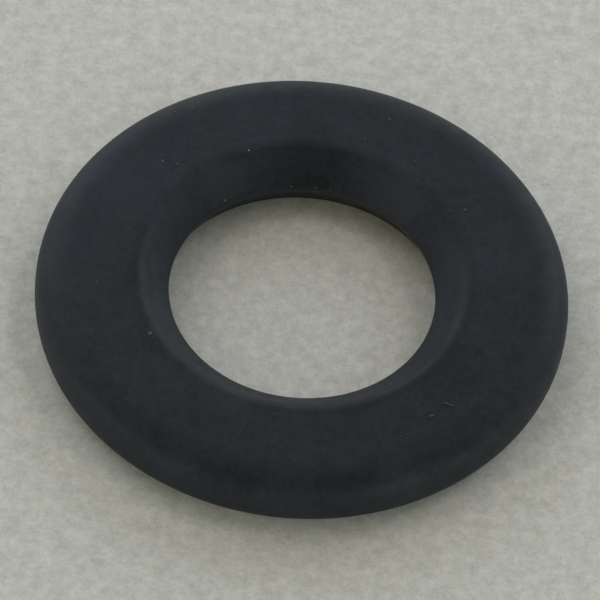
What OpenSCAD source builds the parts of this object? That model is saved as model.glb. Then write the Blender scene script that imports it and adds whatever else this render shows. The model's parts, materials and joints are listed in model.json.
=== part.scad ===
// Knob gasket: a one-piece moulded rubber ring that sits round the neck of a knob.
//
// The ring is one section turned about the Z axis. The origin is on that axis, at the
// flat underside, and the ring rests on it. The hole is narrowest at a short straight
// throat at mid height. A countersink opens it towards the top, where the knob's
// shoulder beds in, and a steeper taper opens it towards the underside.
// Lengths are in millimetres.

/* [Ring] */
// Outside diameter
outer_d = 30; // [26:0.5:40]
// Thickness, from the flat underside to the flat top
thickness = 3.6; // [3.4:0.1:5]
// Radius that rounds the outer edge into the top
top_edge_r = 1.75; // [0.5:0.05:1.8]
// Radius that rounds the outer edge into the underside
base_edge_r = 1.5; // [0.5:0.05:1.6]

/* [Hole] */
// Diameter at the throat, the narrowest part of the hole
throat_d = 15; // [13:0.1:15.9]
// Height of the throat's lower end above the underside
throat_z = 1.8; // [0.6:0.1:2]
// Length of the throat's straight wall, before its ends are rounded
throat_l = 0.3; // [0.25:0.05:1]
// Diameter of the hole at the underside
mouth_d = 16.7; // [16:0.1:19]

/* [Countersink] */
// Diameter at which the countersink's slope meets the plane of the top
sink_d = 18.4; // [17.4:0.1:20.5]
// Radius that rounds the countersink over into the top
shoulder_r = 0.6; // [0.3:0.1:2]

/* [Small edges] */
// Radius of the lip, where the countersink runs into the throat
lip_r = 0.2; // [0.05:0.05:0.25]
// Radius that breaks the throat's lower end
throat_edge_r = 0.2; // [0.05:0.05:0.25]
// Radius that breaks the edge of the hole at the underside
mouth_edge_r = 0.2; // [0.05:0.05:0.3]

/* [Hidden] */

outer_r = outer_d / 2;
throat_r = throat_d / 2;
mouth_r = mouth_d / 2;
sink_r = sink_d / 2;
lip_z = throat_z + throat_l;

// Directions, in degrees, of the two sloping walls as they leave the throat.
sink_dir = atan2(thickness - lip_z, sink_r - throat_r);
taper_dir = atan2(-throat_z, mouth_r - throat_r);

// How far a rounding's cutter reaches past the corner that it takes off.
overshoot = 0.2;
$fn = 180;

// The section with all its corners still sharp, to the right of the axis.
module sharp_section() {
    polygon([
        [mouth_r, 0],
        [outer_r, 0],
        [outer_r, thickness],
        [sink_r, thickness],
        [throat_r, lip_z],
        [throat_r, throat_z]
    ]);
}

// What a rounding of radius r takes off the convex corner at p. The two edges leave
// the corner in the directions from and to, with the material between them.
module rounding_cut(p, from, to, r) {
    mid = (from + to) / 2;
    half = (to - from) / 2;
    run = r / tan(half);
    centre = r / sin(half) * [cos(mid), sin(mid)];
    translate(p)
        difference() {
            polygon([
                -overshoot * [cos(mid), sin(mid)],
                run * [cos(from), sin(from)],
                centre,
                run * [cos(to), sin(to)]
            ]);
            translate(centre)
                circle(r = r);
        }
}

// The moulded section, each corner with its own radius.
module section() {
    difference() {
        sharp_section();
        rounding_cut([outer_r, 0], 90, 180, base_edge_r);
        rounding_cut([outer_r, thickness], 180, 270, top_edge_r);
        rounding_cut([sink_r, thickness], 180 + sink_dir, 360, shoulder_r);
        rounding_cut([throat_r, lip_z], -90, sink_dir, lip_r);
        rounding_cut([throat_r, throat_z], taper_dir, 90, throat_edge_r);
        rounding_cut([mouth_r, 0], 0, 180 + taper_dir, mouth_edge_r);
    }
}

// The whole ring.
module gasket() {
    color([0.16, 0.17, 0.18])
        rotate_extrude()
            section();
}

gasket();
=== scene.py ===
import json
import math

import bpy
import numpy as np
from mathutils import Matrix, Vector


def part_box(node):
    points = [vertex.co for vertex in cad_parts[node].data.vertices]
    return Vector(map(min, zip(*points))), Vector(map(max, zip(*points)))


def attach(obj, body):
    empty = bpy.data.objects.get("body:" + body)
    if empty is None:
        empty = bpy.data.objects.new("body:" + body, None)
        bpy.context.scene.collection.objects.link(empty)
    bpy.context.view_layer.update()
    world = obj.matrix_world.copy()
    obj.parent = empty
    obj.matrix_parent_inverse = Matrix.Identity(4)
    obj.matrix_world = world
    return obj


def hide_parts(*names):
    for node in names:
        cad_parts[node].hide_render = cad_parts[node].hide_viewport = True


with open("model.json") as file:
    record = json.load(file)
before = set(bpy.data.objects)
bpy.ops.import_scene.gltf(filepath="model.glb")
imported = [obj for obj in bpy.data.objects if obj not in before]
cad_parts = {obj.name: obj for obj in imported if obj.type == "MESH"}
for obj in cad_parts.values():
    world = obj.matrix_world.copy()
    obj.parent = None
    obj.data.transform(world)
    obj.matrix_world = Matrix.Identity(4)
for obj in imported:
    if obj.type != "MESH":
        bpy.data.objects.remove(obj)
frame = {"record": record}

MM = 0.001
MICRON = 0.000001
TURN = 2 * math.pi
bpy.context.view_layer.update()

# ---------------------------------------------------------------- the ring, in metres
# The outer radius, the thickness and the throat come from the frame. The rest of the
# section repeats the CAD part's own values.
RING_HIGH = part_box("gasket")[1]
OUTER_R = RING_HIGH.x
THICKNESS = RING_HIGH.z
MOUNTS = {mount["name"]: mount for mount in frame["record"]["mounts"]}
THROAT_R = MOUNTS["throat"]["dims"]["r_mm"] * MM
TOP_EDGE_R = 1.75 * MM
BASE_EDGE_R = 1.5 * MM
THROAT_Z = 1.8 * MM
LIP_Z = 2.1 * MM
MOUTH_R = 8.35 * MM
SINK_R = 9.2 * MM
SHOULDER_R = 0.6 * MM
LIP_EDGE_R = 0.2 * MM
THROAT_EDGE_R = 0.2 * MM
MOUTH_EDGE_R = 0.2 * MM

# The section's corners: radius, height, rounding, steps round the rounding, and the
# length of a step on the straight run that follows it.
CORNERS = [
    (MOUTH_R, 0, MOUTH_EDGE_R, 4, 0.25 * MM),
    (OUTER_R, 0, BASE_EDGE_R, 20, 0.1 * MM),
    (OUTER_R, THICKNESS, TOP_EDGE_R, 28, 0.07 * MM),
    (SINK_R, THICKNESS, SHOULDER_R, 14, 0.08 * MM),
    (THROAT_R, LIP_Z, LIP_EDGE_R, 7, 0.06 * MM),
    (THROAT_R, THROAT_Z, THROAT_EDGE_R, 5, 0.12 * MM),
]
RING_TURNS = 480

# The outer top corner starts to fall away this far in from the edge, and ends this far
# down. The greater the power, the slower its start.
EASE_IN = 2.2 * MM
EASE_DOWN = 1.9 * MM
EASE_POWER = 2.35

# The shoulder and the cone below it are smoothed over this length of the section. The
# smoothing comes in between two heights, which leaves the lip as it is, and goes out
# again between two radii on the flat top.
SOFTEN_LENGTH = 0.2 * MM
SOFTEN_STEP = 0.02 * MM
SOFTEN_HEIGHTS = (2.35 * MM, 2.75 * MM)
SOFTEN_RADII = (10.5 * MM, 12 * MM)

# The relief that the mould left, measured along the surface's own normal. Each of the
# top's waves has a height, a count round the ring, a twist in radians for each metre of
# radius, and a phase. The witness is the groove where two inserts of the mould met. Its
# depth swings by a share of itself round the ring, and is greatest at one turn.
TOP_FADE_FROM = 0.93 * THICKNESS
TOP_WAVES = [
    (2.7 * MICRON, 2, 0, 0.7),
    (2.1 * MICRON, 3, 0, 2.1),
    (1.5 * MICRON, 5, 900, 4.0),
    (1.8 * MICRON, 2, -1500, 0.0),
]
WITNESS_R = 10.25 * MM
WITNESS_WIDTH = 0.09 * MM
WITNESS_DEPTH = 6 * MICRON
WITNESS_SWING = 0.25
WITNESS_DEEPEST = 1.9

# A normal with less than this share upwards is no longer on the upper side.
UPPER_SIDE_TILT = 0.05

# ---------------------------------------------------------------- dust, in millimetres
# Dust that stands out: azimuth in degrees, radius, length and paleness.
DUST = [
    (113.3, 9.37, 0.12, 0.70),
    (211.6, 9.66, 0.27, 0.17),
    (122.1, 13.49, 0.13, 0.28),
    (129.0, 7.63, 0.10, 0.90),
    (139.5, 11.20, 0.20, 0.17),
    (310.2, 11.91, 0.23, 0.17),
    (32.6, 10.40, 0.22, 0.13),
    (70.7, 12.45, 0.15, 0.14),
    (74.4, 10.49, 0.17, 0.13),
    (137.0, 10.50, 0.18, 0.14),
    (126.2, 13.67, 0.10, 0.26),
    (77.1, 13.17, 0.16, 0.08),
    (188.5, 11.59, 0.14, 0.10),
    (51.2, 9.49, 0.15, 0.08),
    (57.0, 10.53, 0.13, 0.16),
    (47.6, 13.89, 0.13, 0.12),
    (158.0, 7.65, 0.14, 0.09),
    (248.8, 8.72, 0.13, 0.20),
    (98.7, 7.52, 0.15, 0.15),
    (88.0, 7.52, 0.14, 0.14),
    (81.8, 7.52, 0.14, 0.14),
    (134.2, 7.56, 0.10, 0.16),
    (150.4, 7.60, 0.09, 0.12),
]

# The seeded scatter of fine dust between them.
FINE_DUST_COUNT = 110
FINE_DUST_RADII = (7.6, 14.4)
FINE_DUST_LENGTHS = (0.045, 0.08)
FINE_DUST_PALENESS = (0.05, 0.22)
DUST_SEED = 41

# A crumb: how far its outline swings from round in two waves and in three, its width
# and its rise as shares of half its length, and how far its middle stands above the
# ring as a share of its rise.
CRUMB_ROWS = 5
CRUMB_COLUMNS = 9
CRUMB_TWO_WAVES = (0.08, 0.26)
CRUMB_THREE_WAVES = (0.04, 0.16)
CRUMB_WIDTHS = (0.55, 0.95)
CRUMB_RISES = (0.2, 0.36)
CRUMB_STAND = 0.35
CRUMB_SEED = 42

# Lint: azimuth and radius where it starts, then where it ends, its thickness, its bow
# and its paleness.
LINT = [
    (315.6, 11.62, 316.9, 12.12, 0.055, 0.03, 0.20),
    (307.4, 8.86, 309.0, 8.42, 0.040, -0.02, 0.16),
]

# A fibre's tube: its sides and stations, how many degrees its path wanders, and the
# power of its taper.
LINT_SIDES = 8
LINT_STATIONS = 25
LINT_WANDER = 0.15
LINT_TAPER = 8

# ---------------------------------------------------------------- finishes, in millimetres
# Colours are linear. The rubber goes from clean to dusty, and from cool to warm, and the
# paper from deep to pale in the same way.
COOL_CLEAN = (0.0105, 0.0152, 0.0212, 1)
COOL_DUSTY = (0.0270, 0.0342, 0.0440, 1)
WARM_CLEAN = (0.0155, 0.0148, 0.0169, 1)
WARM_DUSTY = (0.0320, 0.0338, 0.0398, 1)
# Painted light: the paler grey that lifts the throat and the taper in the hole's shade.
PAINTED_LIGHT_GREY = (0.068, 0.073, 0.078, 1)
FLECK_GREY = (0.048, 0.053, 0.058, 1)
CRUMB_GREY = (0.045, 0.047, 0.050, 1)
CRUMB_CHALK = (0.42, 0.42, 0.41, 1)
PAPER_COOL_DEEP = (0.580, 0.590, 0.566, 1)
PAPER_COOL_PALE = (0.920, 0.910, 0.878, 1)
PAPER_WARM_DEEP = (0.625, 0.590, 0.474, 1)
PAPER_WARM_PALE = (0.940, 0.910, 0.806, 1)

# Noises: cells in a millimetre, how many times they are halved, and how strong each
# halving is beside the one before it.
MOTTLE_NOISE = (1.2, 3.6, 1.0)
CLOUD_NOISE = (0.21, 1.0, 0.5)
HUE_NOISE = (1.3, 3.0, 0.9)
ROUGHNESS_NOISE = (1.1, 4.0, 0.6)
GRAIN_NOISE = (11.0, 2.0, 0.6)
RELIEF_NOISE = (2.4, 3.0, 0.5)
CRUMB_NOISE = (9.0, 2.0, 0.5)
PAPER_NOISE = (1.05, 4.5, 0.92)
TOOTH_NOISE = (6.0, 3.0, 0.6)

# A noise seldom leaves this range. The paper's pale side levels off sooner.
NOISE_SWING = (0.3, 0.7)
PAPER_SWING = (0.24, 0.62)

# The veil of dust: its mottle's range, a slow cloud to either side of it, and a share
# that grows evenly towards one azimuth and is BLOOM at the ring's edge.
MOTTLE = (0.08, 0.92)
CLOUD = 0.08
BLOOM_AZIMUTH = 130
BLOOM = 0.22

# A band of painted shade along the shoulder: the veil's loss on a circle of this radius,
# how far to either side it is full, and where it ends.
SHOULDER_SHADE = -0.2
SHADE_RADIUS = 9.45
SHADE_CORE = 0.15
SHADE_REACH = 0.5

# Patches of painted highlight and painted shade on the countersink, the shoulder and the
# outer wall, and lighter or darker spots on the top: azimuth, radius and height of the
# middle, how far it is full and how far it reaches, and what it adds to the veil's share.
SHADE_AND_HIGHLIGHT_PATCHES = [
    (54, 8.4, 2.9, 0.8, 2.6, 0.50),
    (126, 8.4, 2.9, 0.5, 1.9, 0.50),
    (91, 8.8, 2.9, 1.0, 2.8, -0.36),
    (208, 7.9, 2.4, 1.0, 2.6, 0.36),
    (213, 9.3, 3.3, 0.7, 2.2, -0.24),
    (185, 9.5, 3.4, 0.6, 2.4, -0.15),
    (248, 9.5, 3.5, 0.6, 2.2, 0.35),
    (292, 8.1, 2.6, 1.0, 3.4, -0.35),
    (326, 9.6, 3.4, 0.8, 3.0, -0.30),
    (240, 12.3, 3.6, 0.8, 3.4, -0.12),
    (246, 14.5, 2.7, 0.6, 2.0, 0.30),
    (270, 14.5, 2.7, 0.6, 2.2, 0.30),
    (296, 14.5, 2.7, 0.6, 2.2, 0.35),
    (150, 11.0, 3.6, 1.5, 3.8, 0.28),
    (15, 10.4, 3.6, 1.0, 3.5, 0.20),
]

# The throat and the taper are painted this far towards a paler grey: painted light that
# lifts them in the hole's shade. It fades out between two heights and between two radii.
PAINTED_LIGHT_SHARE = 0.45
PAINTED_LIGHT_HEIGHTS = (1.75, 2.1)
PAINTED_LIGHT_RADII = (8.6, 9.2)

# Pale flecks in a grid of cells: the cells in a millimetre, the distance from a cell's
# point over which a fleck fades, and the range of the draw over which flecks appear.
FLECK_CELLS = 6.0
FLECK_FADE = (0.10, 0.24)
FLECK_DRAW = (0.84, 1.0)

# How matt each surface is, and the strength of its gloss.
RUBBER_ROUGHNESS = (0.49, 0.59)
RUBBER_GLOSS = 0.2
DUST_ROUGHNESS = 0.9
DUST_GLOSS = 0.2
DUST_TINT = (0.8, 1.15)
PAPER_ROUGHNESS = 0.95
PAPER_GLOSS = 0.1

# Depths of the fine relief, in metres.
GRAIN_DEPTH = 4 * MICRON
RELIEF_DEPTH = 8 * MICRON
TOOTH_DEPTH = 12 * MICRON

# ---------------------------------------------------------------- the camera
PICTURE_PX = 600
CAMERA_ELEVATION = 52.15
CAMERA_ROLL = 4.9
CAMERA_DISTANCE = 376.4 * MM
PX_PER_MM = 17.73
AXIS_PX = (300.3, 313.8)
SENSOR_WIDTH = 36
NEAREST_SEEN = 0.01
FARTHEST_SEEN = 10

# ---------------------------------------------------------------- the studio
FLOOR_REACH = 1.5
ROOM_LIGHT = 0.082
ROOM_COLOUR = (0.76, 1.0, 0.67, 1)
LAMP_DISTANCE = 0.6

# Soft boxes: the azimuth and elevation they shine from, their width and height seen
# from the ring, both in degrees, their power in watts and their colour.
LAMPS = [
    ("back_right_box", 49, 23, 45, 39, 0.979, (0.95, 1.0, 1.18)),
    ("back_left_box", 119, 23, 66, 31, 1.172, (0.92, 1.0, 1.22)),
    ("left_box", 207, 34, 43, 27, 0.313, (1.20, 1.0, 0.80)),
    ("right_box", 331, 32, 42, 26, 0.315, (0.96, 1.0, 1.06)),
    ("high_left_box", 140, 58, 41, 40, 0.465, (1.03, 1.0, 1.01)),
    ("high_right_box", 21, 60, 32, 12, 0.236, (1.20, 1.0, 0.96)),
    ("low_left_strip", 210, 8, 86, 9, 1.147, (0.91, 1.0, 1.04)),
    ("low_back_strip", 90, 7, 110, 11, 0.638, (0.82, 1.0, 0.57)),
    ("low_right_strip", 323, 6, 88, 9, 1.244, (0.95, 1.0, 0.97)),
]


def smooth_step(x, low, high):
    """0 below low, 1 above high, and 3u^2 - 2u^3 between them."""
    u = np.clip((x - low) / (high - low), 0, 1)
    return u * u * (3 - 2 * u)


def rounded_outline(rows):
    """Closed outline through the rows' corners, each rounded by its own radius.

    At a corner the two edges leave with unit vectors a and b. With h half the angle
    between them, the arc starts and ends r / tan(h) from the corner, and its centre
    lies r / sin(h) from it along a + b. Points on the arc are the centre plus r times
    a direction turned evenly from one tangent point to the other, and points on the
    straight runs between arcs lie a step apart."""
    table = np.array(rows, float)
    corners = table[:, :2]
    count = len(corners)
    arcs = []
    for i in range(count):
        radius, arc_steps = table[i, 2:4]
        p = corners[i]
        a = corners[i - 1] - p
        b = corners[(i + 1) % count] - p
        a /= np.linalg.norm(a)
        b /= np.linalg.norm(b)
        half = math.acos(float(a @ b)) / 2
        run = radius / math.tan(half)
        middle = (a + b) / np.linalg.norm(a + b)
        centre = p + middle * radius / math.sin(half)
        start = p + a * run - centre
        end = p + b * run - centre
        sweep = math.atan2(start[0] * end[1] - start[1] * end[0], float(start @ end))
        turn = np.linspace(0, sweep, int(arc_steps) + 1)
        x = start[0] * np.cos(turn) - start[1] * np.sin(turn)
        y = start[0] * np.sin(turn) + start[1] * np.cos(turn)
        arcs.append(centre + np.stack([x, y], 1))
    runs = []
    for i in range(count):
        first = arcs[i][-1]
        last = arcs[(i + 1) % count][0]
        pieces = max(1, round(float(np.linalg.norm(last - first)) / table[i, 4]))
        share = np.linspace(0, 1, pieces + 1)[1:-1, None]
        runs += [arcs[i], first + (last - first) * share]
    return np.concatenate(runs)


def eased_corner(outline):
    """Eases the outer top corner's rounding into the flat top and the outer wall.

    With x and h measured from the corner's inner end, each point there moves along
    its own ray until (x / EASE_IN)^p + (h / EASE_DOWN)^p is 1, with p EASE_POWER. That
    curve's curvature starts from nothing at both ends. It lies at most 0.05 mm off
    the CAD part's circular rounding."""
    inner = np.array([OUTER_R - EASE_IN, THICKNESS - EASE_DOWN])
    offset = np.maximum(outline - inner, 0)
    share = offset / [EASE_IN, EASE_DOWN]
    in_corner = (share > 0).all(1)
    size = (share**EASE_POWER).sum(1) ** (1 / EASE_POWER)
    eased = inner + offset / np.where(in_corner, size, 1)[:, None]
    return np.where(in_corner[:, None], eased, outline)


def softened_shoulder(outline):
    """Smooths the shoulder, so that its curvature has no sudden start or end.

    A point there moves to the mean of the even outline round it, weighted by a bell
    curve of SOFTEN_LENGTH. The even outline is the same line cut into equal runs of
    SOFTEN_STEP. The move comes in over SOFTEN_HEIGHTS and goes out over SOFTEN_RADII."""
    closed = np.vstack([outline, outline[:1]])
    run = np.concatenate([[0], np.cumsum(np.linalg.norm(np.diff(closed, axis=0), axis=1))])
    even = np.arange(0, run[-1], SOFTEN_STEP)
    even_r = np.interp(even, run, closed[:, 0])
    even_z = np.interp(even, run, closed[:, 1])
    line = np.stack([even_r, even_z], 1)
    gap = np.abs(run[:-1, None] - even[None, :])
    gap = np.minimum(gap, run[-1] - gap)
    weight = np.exp(-0.5 * (gap / SOFTEN_LENGTH) ** 2)
    smooth = weight @ line / weight.sum(1, keepdims=True)
    share = smooth_step(outline[:, 1], *SOFTEN_HEIGHTS)
    share *= 1 - smooth_step(outline[:, 0], *SOFTEN_RADII)
    return outline + share[:, None] * (smooth - outline)


def ring_section():
    """The gasket's section as (radius, height) points, counter-clockwise in that
    plane: underside, outer edge, top, countersink, throat and taper."""
    return softened_shoulder(eased_corner(rounded_outline(CORNERS)))


def section_normals(section):
    """Outward normals of the closed outline: the chord between a point's two
    neighbours, turned a quarter turn clockwise."""
    chord = np.roll(section, -1, 0) - np.roll(section, 1, 0)
    chord /= np.linalg.norm(chord, axis=1, keepdims=True)
    return np.stack([chord[:, 1], -chord[:, 0]], 1)


def mould_relief(r, z, t):
    """How far the surface stands off its true section at radius r, height z, turn t.

    The top waves slowly: each of TOP_WAVES is a cosine of its count times t, plus its
    phase and its twist times r, and their sum is lowered by its greatest height, so
    that none of it stands above the true top. A shallow groove with a bell-shaped
    section runs round the top at WITNESS_R, where two inserts of the mould met, a
    little deeper on one side. All of it fades out below the top's plane."""
    on_top = smooth_step(z, TOP_FADE_FROM, THICKNESS)
    waves = 0
    for height, count, twist, phase in TOP_WAVES:
        waves = waves + height * (np.cos(count * t + phase + twist * r) - 1)
    groove = np.exp(-(((r - WITNESS_R) / WITNESS_WIDTH) ** 2))
    depth = 1 - WITNESS_SWING + WITNESS_SWING * np.cos(t - WITNESS_DEEPEST)
    return on_top * (waves - WITNESS_DEPTH * depth * groove)


def ring_surface():
    """The section carried round the axis, moved along its own normal by the relief:
    x = r cos t, y = r sin t, z = h."""
    section = ring_section()
    normals = section_normals(section)
    t = np.linspace(0, TURN, RING_TURNS, endpoint=False)[None, :]
    r = section[:, 0, None]
    h = section[:, 1, None]
    stand_off = mould_relief(r, h, t)
    r = r + normals[:, 0, None] * stand_off
    h = h + normals[:, 1, None] * stand_off
    return np.stack([r * np.cos(t), r * np.sin(t), h], 2)


def new_piece(name, points, faces, material):
    """A smooth mesh of the points and faces, as one object at the origin."""
    mesh = bpy.data.meshes.new(name)
    mesh.from_pydata(points.tolist(), [], faces)
    mesh.polygons.foreach_set("use_smooth", np.ones(len(faces), bool))
    mesh.materials.append(material)
    mesh.update()
    piece = bpy.data.objects.new(name, mesh)
    bpy.context.scene.collection.objects.link(piece)
    return piece


def ring_faces(rows, columns):
    """Quads of a grid that wraps round both ways, facing out of the ring."""
    index = np.arange(rows * columns).reshape(rows, columns)
    below = np.roll(index, -1, 0)
    right = np.roll(index, -1, 1)
    corner = np.roll(below, -1, 1)
    return np.stack([index, right, corner, below], 2).reshape(-1, 4).tolist()


def make_ring():
    """The moulded ring, with its finish."""
    points = ring_surface()
    rows, columns = points.shape[:2]
    faces = ring_faces(rows, columns)
    return new_piece("gasket_ring", points.reshape(-1, 3), faces, rubber_material())


# ---------------------------------------------------------------- dust and lint
def upper_side(radius):
    """Height and normal of the ring's upper side at each radius, read between the
    section's points from the outer edge over the top and down to the lip."""
    section = ring_section()
    normals = section_normals(section)
    upper = (section[:, 1] > THICKNESS - TOP_EDGE_R) & (normals[:, 1] > UPPER_SIDE_TILT)
    order = np.argsort(section[upper, 0])
    r = section[upper, 0][order]
    height = np.interp(radius, r, section[upper, 1][order])
    normal_r = np.interp(radius, r, normals[upper, 0][order])
    normal_z = np.interp(radius, r, normals[upper, 1][order])
    length = np.hypot(normal_r, normal_z)
    return height, normal_r / length, normal_z / length


def seat(azimuth, radius):
    """Where a crumb sits: the point of the upper side, its outward normal, and two
    directions in the surface, one round the ring and one across it."""
    t = np.radians(azimuth)
    height, normal_r, normal_z = upper_side(radius)
    zero = np.zeros_like(t)
    point = np.stack([radius * np.cos(t), radius * np.sin(t), height], 1)
    normal = np.stack([normal_r * np.cos(t), normal_r * np.sin(t), normal_z], 1)
    along = np.stack([-np.sin(t), np.cos(t), zero], 1)
    across = np.cross(normal, along)
    return point, normal, along, across


def crumb_points(azimuth, radius, length):
    """Irregular flattened lumps, one for each azimuth, as points[lump, vertex].

    On a unit ball with the turn u and the angle v from its pole, the radius is
    1 + a cos(2u + p) + b cos(3u + q) times sin v. The ball is then stretched to half
    the length along one direction in the surface, to its own share of that across it,
    and to a low height along the normal, and it is set a third of its height deep."""
    random = np.random.default_rng(CRUMB_SEED)
    count = len(azimuth)
    point, normal, along, across = seat(azimuth, radius)
    u = np.linspace(0, TURN, CRUMB_COLUMNS, endpoint=False)
    v = np.linspace(0, math.pi, CRUMB_ROWS + 2)[1:-1]
    turn = random.uniform(0, TURN, (count, 1, 1))
    first = random.uniform(*CRUMB_TWO_WAVES, (count, 1, 1))
    second = random.uniform(*CRUMB_THREE_WAVES, (count, 1, 1))
    phase = random.uniform(0, TURN, (2, count, 1, 1))
    wobble = 1 + first * np.cos(2 * u + phase[0]) + second * np.cos(3 * u + phase[1])
    reach = wobble * np.sin(v)[:, None]
    half = length[:, None, None] / 2
    width = half * random.uniform(*CRUMB_WIDTHS, (count, 1, 1))
    rise = half * random.uniform(*CRUMB_RISES, (count, 1, 1))
    a = half * reach * np.cos(u)
    b = width * reach * np.sin(u)
    c = np.broadcast_to(rise * (np.cos(v)[:, None] + CRUMB_STAND), a.shape)
    side = a * np.cos(turn) - b * np.sin(turn)
    cross = a * np.sin(turn) + b * np.cos(turn)
    body = (
        side[..., None] * along[:, None, None]
        + cross[..., None] * across[:, None, None]
        + c[..., None] * normal[:, None, None]
    )
    poles = rise[:, :, 0] * (np.array([1.0, -1.0]) + CRUMB_STAND)
    poles = poles[..., None] * normal[:, None]
    lumps = np.concatenate([body.reshape(count, -1, 3), poles], 1)
    return lumps + point[:, None]


def crumb_faces(count):
    """Quads between a crumb's rows and triangles to its two poles, for every crumb."""
    index = np.arange(CRUMB_ROWS * CRUMB_COLUMNS).reshape(CRUMB_ROWS, CRUMB_COLUMNS)
    right = np.roll(index, -1, 1)
    quads = np.stack([index[:-1], index[1:], right[1:], right[:-1]], 2).reshape(-1, 4)
    top = index.size
    foot = top + 1
    cap = [(top, a, b) for a, b in zip(index[0], right[0])]
    base = [(foot, b, a) for a, b in zip(index[-1], right[-1])]
    size = foot + 1
    faces = []
    for crumb in range(count):
        start = crumb * size
        faces += (quads + start).tolist()
        faces += [tuple(int(i) + start for i in face) for face in cap + base]
    return faces


def paint(piece, values):
    """Stores each point's paleness, for the dust's material to read."""
    layer = piece.data.attributes.new("paleness", "FLOAT", "POINT")
    layer.data.foreach_set("value", np.asarray(values, np.float32))


def make_dust(material):
    """The crumbs that stand out, and a scatter of finer ones, even over the ring's area."""
    random = np.random.default_rng(DUST_SEED)
    table = np.array(DUST)
    azimuth = np.concatenate([table[:, 0], random.uniform(0, 360, FINE_DUST_COUNT)])
    share = random.uniform(0, 1, FINE_DUST_COUNT)
    inner, outer = (edge * MM for edge in FINE_DUST_RADII)
    radius = np.sqrt(inner**2 + share * (outer**2 - inner**2))
    radius = np.concatenate([table[:, 1] * MM, radius])
    length = random.uniform(*FINE_DUST_LENGTHS, FINE_DUST_COUNT)
    length = np.concatenate([table[:, 2], length]) * MM
    pale = random.uniform(*FINE_DUST_PALENESS, FINE_DUST_COUNT)
    pale = np.concatenate([table[:, 3], pale])
    points = crumb_points(azimuth, radius, length)
    faces = crumb_faces(len(azimuth))
    dust = new_piece("dust_specks", points.reshape(-1, 3), faces, material)
    paint(dust, np.repeat(pale, points.shape[1]))
    return dust


def make_fibre(number, az_0, r_0, az_1, r_1, thickness, bow, pale, material):
    """A fibre lying on the ring: a tube carried along a bowed path.

    The path runs evenly from one end's azimuth and radius to the other's. Its radius
    is bowed by a half sine and its azimuth wanders by a whole one, and it stays half
    the thickness off the ring. With s from 0 to 1 along it, the tube's radius is half
    the thickness times the root of 1 - (2s - 1)^LINT_TAPER, so it ends in points."""
    half = thickness * MM / 2
    s = np.linspace(0, 1, LINT_STATIONS)
    radius = (r_0 + (r_1 - r_0) * s + bow * np.sin(math.pi * s)) * MM
    azimuth = az_0 + (az_1 - az_0) * s + LINT_WANDER * np.sin(TURN * s)
    point, normal = seat(azimuth, radius)[:2]
    thick = half * np.sqrt(np.clip(1 - (2 * s - 1) ** LINT_TAPER, 0, 1))
    thick[0] = thick[-1] = 0
    path = point + normal * half
    forward = np.gradient(path, axis=0)
    forward /= np.linalg.norm(forward, axis=1, keepdims=True)
    side = np.cross(normal, forward)
    side /= np.linalg.norm(side, axis=1, keepdims=True)
    u = np.linspace(0, TURN, LINT_SIDES, endpoint=False)[None, :, None]
    ring = side[:, None] * np.cos(u) + normal[:, None] * np.sin(u)
    body = path[1:-1, None] + ring[1:-1] * thick[1:-1, None, None]
    points = np.concatenate([body.reshape(-1, 3), path[[0, -1]]])
    head = (LINT_STATIONS - 2) * LINT_SIDES
    tail = head + 1
    index = np.arange(head).reshape(-1, LINT_SIDES)
    right = np.roll(index, -1, 1)
    quads = np.stack([index[:-1], right[:-1], right[1:], index[1:]], 2)
    faces = quads.reshape(-1, 4).tolist()
    faces += [(head, int(b), int(a)) for a, b in zip(index[0], right[0])]
    faces += [(tail, int(a), int(b)) for a, b in zip(index[-1], right[-1])]
    fibre = new_piece("lint_fibre_%d" % number, points, faces, material)
    paint(fibre, np.full(len(points), pale))
    return fibre


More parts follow.
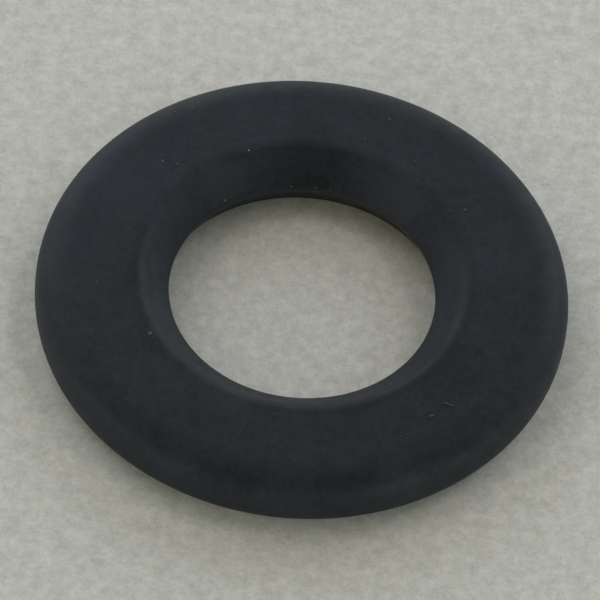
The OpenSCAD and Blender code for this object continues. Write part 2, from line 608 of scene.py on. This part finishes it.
# ---------------------------------------------------------------- materials
class Finish:
    """A node material: adds nodes, sets their sockets and joins them up."""

    def __init__(self, name):
        self.material = bpy.data.materials.new(name)
        self.material.use_nodes = True
        self.tree = self.material.node_tree
        self.shader = self.tree.nodes["Principled BSDF"]
        place = self.add("ShaderNodeTexCoord")
        # object coordinates in millimetres
        self.mm = self.add("ShaderNodeMapping", Vector=place.outputs["Object"])
        self.mm.inputs["Scale"].default_value = (1 / MM, 1 / MM, 1 / MM)

    def add(self, kind, **sockets):
        """A new node, with its named sockets set or joined."""
        node = self.tree.nodes.new(kind)
        for name, value in sockets.items():
            self.put(node.inputs[name], value)
        return node

    def put(self, socket, value):
        """Joins another node's output to the socket, or sets a plain value."""
        if isinstance(value, bpy.types.NodeSocket):
            self.tree.links.new(value, socket)
        else:
            socket.default_value = value

    def noise(self, per_mm, detail, roughness):
        """A cloudy noise with the given cells in a millimetre."""
        node = self.add("ShaderNodeTexNoise", Vector=self.mm.outputs["Vector"])
        node.inputs["Scale"].default_value = per_mm
        node.inputs["Detail"].default_value = detail
        node.inputs["Roughness"].default_value = roughness
        return node.outputs["Fac"]

    def uneven(self, noise, low, high):
        """The noise given, with its usual swing spread from low to high."""
        return self.remap(self.noise(*noise), *NOISE_SWING, low, high)

    def cells(self, per_mm):
        """Cells round scattered points: the distance to the point, and a drawn colour."""
        node = self.add("ShaderNodeTexVoronoi", Vector=self.mm.outputs["Vector"])
        node.inputs["Scale"].default_value = per_mm
        return node

    def towards(self, azimuth):
        """Millimetres from the axis in the direction of the azimuth."""
        turn = math.radians(azimuth)
        node = self.add("ShaderNodeVectorMath")
        node.operation = "DOT_PRODUCT"
        self.put(node.inputs[0], self.mm.outputs["Vector"])
        node.inputs[1].default_value = (math.cos(turn), math.sin(turn), 0)
        return node.outputs["Value"]

    def radius_and_height(self):
        """The distance from the axis and the height above the floor, in millimetres."""
        place = self.add("ShaderNodeSeparateXYZ", Vector=self.mm.outputs["Vector"])
        x = place.outputs["X"]
        y = place.outputs["Y"]
        x_square = self.maths("MULTIPLY", x, x)
        y_square = self.maths("MULTIPLY", y, y)
        square = self.maths("ADD", x_square, y_square)
        return self.maths("POWER", square, 0.5), place.outputs["Z"]

    def patch(self, azimuth, radius, height, core, reach):
        """1 within the core of the point given, and 0 beyond the reach, in millimetres."""
        turn = math.radians(azimuth)
        middle = (radius * math.cos(turn), radius * math.sin(turn), height)
        node = self.add("ShaderNodeVectorMath")
        node.operation = "DISTANCE"
        self.put(node.inputs[0], self.mm.outputs["Vector"])
        node.inputs[1].default_value = middle
        return self.remap(node.outputs["Value"], core, reach, 1.0, 0.0, smooth=True)

    def remap(self, value, from_low, from_high, to_low, to_high, smooth=False):
        """Takes one range to another, evenly or along an S curve, and holds beyond it."""
        node = self.add("ShaderNodeMapRange", Value=value)
        node.interpolation_type = "SMOOTHSTEP" if smooth else "LINEAR"
        node.inputs["From Min"].default_value = from_low
        node.inputs["From Max"].default_value = from_high
        node.inputs["To Min"].default_value = to_low
        node.inputs["To Max"].default_value = to_high
        return node.outputs["Result"]

    def maths(self, operation, a, b=None):
        """One sum on one or two values."""
        node = self.add("ShaderNodeMath")
        node.operation = operation
        self.put(node.inputs[0], a)
        if b is not None:
            self.put(node.inputs[1], b)
        return node.outputs["Value"]

    def blend(self, share, first, second):
        """The first colour where the share is 0, and the second where it is 1."""
        node = self.add("ShaderNodeMix")
        node.data_type = "RGBA"
        self.put(node.inputs["Factor"], share)
        self.put(node.inputs["A"], first)
        self.put(node.inputs["B"], second)
        return node.outputs["Result"]

    def bump(self, height, distance, after=None):
        """A normal from the height, on top of another bump where one is given."""
        node = self.add("ShaderNodeBump", Height=height)
        node.inputs["Distance"].default_value = distance
        node.inputs["Strength"].default_value = 1.0
        if after is not None:
            self.put(node.inputs["Normal"], after)
        return node.outputs["Normal"]


def dust_and_painted_light_veil(finish, radius):
    """The veil's share: 0 is clean rubber, and 1 is as pale as it gets, from dust and
    painted light.

    It is the sum of a mottle with about the same swing at every size from 2 mm down to
    0.25 mm, a slow cloud, BLOOM times the distance towards BLOOM_AZIMUTH over the
    ring's radius, a band of painted shade along the shoulder, and each patch's painted
    highlight or painted shade, or lighter or darker spot on the top."""
    edge = OUTER_R / MM
    veil_and_light = finish.uneven(MOTTLE_NOISE, *MOTTLE)
    bloom = finish.remap(finish.towards(BLOOM_AZIMUTH), -edge, edge, -BLOOM, BLOOM)
    cloud = finish.uneven(CLOUD_NOISE, -CLOUD, CLOUD)
    # Painted shade: a band along the shoulder takes the veil darker.
    off_shade = finish.maths("ABSOLUTE", finish.maths("SUBTRACT", radius, SHADE_RADIUS))
    shoulder_shade = finish.remap(off_shade, SHADE_CORE, SHADE_REACH, SHOULDER_SHADE, 0.0, smooth=True)
    for part in (bloom, cloud, shoulder_shade):
        veil_and_light = finish.maths("ADD", veil_and_light, part)
    # Painted highlights and painted shade: each patch lightens or darkens the veil.
    for azimuth, middle_r, middle_z, core, reach, change in SHADE_AND_HIGHLIGHT_PATCHES:
        patch = finish.patch(azimuth, middle_r, middle_z, core, reach)
        veil_and_light = finish.maths("ADD", veil_and_light, finish.maths("MULTIPLY", patch, change))
    return veil_and_light


def rubber_material():
    """Black moulded rubber under a thin, uneven veil of dust and painted light, with a matt
    grain.

    The veil takes the colour from clean rubber to dusty rubber, with painted highlights and
    painted shade in it, and a second noise turns it from cool to warm. The throat and the
    taper are painted part of the way to a paler grey, as painted light in the hole's shade:
    their share is a ramp of the height times a ramp of the radius. Pale flecks stand for
    dust too small to be pieces: a fleck is the middle of a cell, in the few cells whose
    drawn colour is high enough."""
    finish = Finish("black_rubber")
    shader = finish.shader
    radius, height = finish.radius_and_height()
    # The veil is dust with painted highlights and painted shade in it.
    veil_and_light = dust_and_painted_light_veil(finish, radius)
    cool = finish.blend(veil_and_light, COOL_CLEAN, COOL_DUSTY)
    warm = finish.blend(veil_and_light, WARM_CLEAN, WARM_DUSTY)
    colour = finish.blend(finish.uneven(HUE_NOISE, 0.0, 1.0), cool, warm)
    # Painted light: the throat and the taper, in the hole's shade, go part of the way to a
    # paler grey.
    low = finish.remap(height, *PAINTED_LIGHT_HEIGHTS, PAINTED_LIGHT_SHARE, 0.0)
    within = finish.remap(radius, *PAINTED_LIGHT_RADII, 1.0, 0.0)
    painted_light = finish.maths("MULTIPLY", low, within)
    colour = finish.blend(painted_light, colour, PAINTED_LIGHT_GREY)
    cells = finish.cells(FLECK_CELLS)
    dot = finish.remap(cells.outputs["Distance"], *FLECK_FADE, 1.0, 0.0)
    draw = finish.add("ShaderNodeSeparateColor", Color=cells.outputs["Color"])
    some = finish.remap(draw.outputs["Red"], *FLECK_DRAW, 0.0, 1.0)
    fleck = finish.maths("MULTIPLY", dot, some)
    colour = finish.blend(fleck, colour, FLECK_GREY)
    finish.put(shader.inputs["Base Color"], colour)
    finish.put(shader.inputs["Roughness"], finish.uneven(ROUGHNESS_NOISE, *RUBBER_ROUGHNESS))
    shader.inputs["Specular IOR Level"].default_value = RUBBER_GLOSS
    grain = finish.bump(finish.noise(*GRAIN_NOISE), GRAIN_DEPTH)
    relief = finish.bump(finish.noise(*RELIEF_NOISE), RELIEF_DEPTH, after=grain)
    finish.put(shader.inputs["Normal"], relief)
    return finish.material


def dust_material():
    """Crumbs and lint: the paler the point, the nearer to chalk, a little unevenly."""
    finish = Finish("pale_dust")
    shader = finish.shader
    pale = finish.add("ShaderNodeAttribute")
    pale.attribute_name = "paleness"
    tint = finish.uneven(CRUMB_NOISE, *DUST_TINT)
    share = finish.maths("MULTIPLY", pale.outputs["Fac"], tint)
    finish.put(shader.inputs["Base Color"], finish.blend(share, CRUMB_GREY, CRUMB_CHALK))
    shader.inputs["Roughness"].default_value = DUST_ROUGHNESS
    shader.inputs["Specular IOR Level"].default_value = DUST_GLOSS
    return finish.material


def floor_material():
    """Plain pale matt paper: a cloudy mottle whose pale side levels off, a slight
    turn from cool to warm, and a fine tooth."""
    finish = Finish("pale_floor")
    shader = finish.shader
    tone = finish.remap(finish.noise(*PAPER_NOISE), *PAPER_SWING, 0.0, 1.0)
    cool = finish.blend(tone, PAPER_COOL_DEEP, PAPER_COOL_PALE)
    warm = finish.blend(tone, PAPER_WARM_DEEP, PAPER_WARM_PALE)
    colour = finish.blend(finish.uneven(HUE_NOISE, 0.0, 1.0), cool, warm)
    finish.put(shader.inputs["Base Color"], colour)
    shader.inputs["Roughness"].default_value = PAPER_ROUGHNESS
    shader.inputs["Specular IOR Level"].default_value = PAPER_GLOSS
    tooth = finish.bump(finish.noise(*TOOTH_NOISE), TOOTH_DEPTH)
    finish.put(shader.inputs["Normal"], tooth)
    return finish.material


# ---------------------------------------------------------------- stage
def make_floor():
    """One wide flat sheet of paper under the ring."""
    reach = FLOOR_REACH
    corners = np.array([
        (-reach, -reach, 0),
        (reach, -reach, 0),
        (reach, reach, 0),
        (-reach, reach, 0),
    ])
    floor = new_piece("floor", corners, [(0, 1, 2, 3)], floor_material())


def make_camera():
    """A camera whose picture has the foot of the ring's axis at AXIS_PX."""
    elevation = math.radians(CAMERA_ELEVATION)
    roll = math.radians(CAMERA_ROLL)
    forward = Vector((0, math.cos(elevation), -math.sin(elevation)))
    level_up = Vector((0, math.sin(elevation), math.cos(elevation)))
    level_right = Vector((1, 0, 0))
    right = level_right * math.cos(roll) + level_up * math.sin(roll)
    up = level_up * math.cos(roll) - level_right * math.sin(roll)
    across = (PICTURE_PX / 2 - AXIS_PX[0]) / PX_PER_MM * MM
    along = (AXIS_PX[1] - PICTURE_PX / 2) / PX_PER_MM * MM
    place = right * across + up * along - forward * CAMERA_DISTANCE
    data = bpy.data.cameras.new("camera")
    data.sensor_width = SENSOR_WIDTH
    data.lens = PX_PER_MM / MM * CAMERA_DISTANCE * SENSOR_WIDTH / PICTURE_PX
    data.clip_start = NEAREST_SEEN
    data.clip_end = FARTHEST_SEEN
    camera = bpy.data.objects.new("camera", data)
    turn = Matrix((right, up, -forward)).transposed()
    camera.matrix_world = Matrix.Translation(place) @ turn.to_4x4()
    bpy.context.scene.collection.objects.link(camera)
    bpy.context.scene.camera = camera


def soft_box(name, azimuth, elevation, width, height, power, colour):
    """A rectangular soft box that faces the ring and stays out of the picture."""
    data = bpy.data.lights.new(name, "AREA")
    data.shape = "RECTANGLE"
    data.size = 2 * LAMP_DISTANCE * math.tan(math.radians(width / 2))
    data.size_y = 2 * LAMP_DISTANCE * math.tan(math.radians(height / 2))
    data.energy = power
    data.color = colour
    turn = math.radians(azimuth)
    rise = math.radians(elevation)
    towards = Vector((
        math.cos(rise) * math.cos(turn),
        math.cos(rise) * math.sin(turn),
        math.sin(rise),
    ))
    lamp = bpy.data.objects.new(name, data)
    facing = towards.to_track_quat("Z", "Y").to_matrix().to_4x4()
    lamp.matrix_world = Matrix.Translation(towards * LAMP_DISTANCE) @ facing
    lamp.visible_camera = False
    bpy.context.scene.collection.objects.link(lamp)


def make_lights():
    """A weak room light from all round, and the soft boxes."""
    world = bpy.data.worlds.new("studio")
    bpy.context.scene.world = world
    world.use_nodes = True
    room = world.node_tree.nodes["Background"]
    room.inputs["Color"].default_value = ROOM_COLOUR
    room.inputs["Strength"].default_value = ROOM_LIGHT
    for lamp in LAMPS:
        soft_box(*lamp)


# Colours are shown as they are, with no film curve.
bpy.context.scene.view_settings.view_transform = "Standard"
ring = make_ring()
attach(ring, "root")
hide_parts("gasket")
crumbs = dust_material()
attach(make_dust(crumbs), "root")
for number, fibre in enumerate(LINT, 1):
    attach(make_fibre(number, *fibre, crumbs), "root")
make_floor()
make_camera()
make_lights()
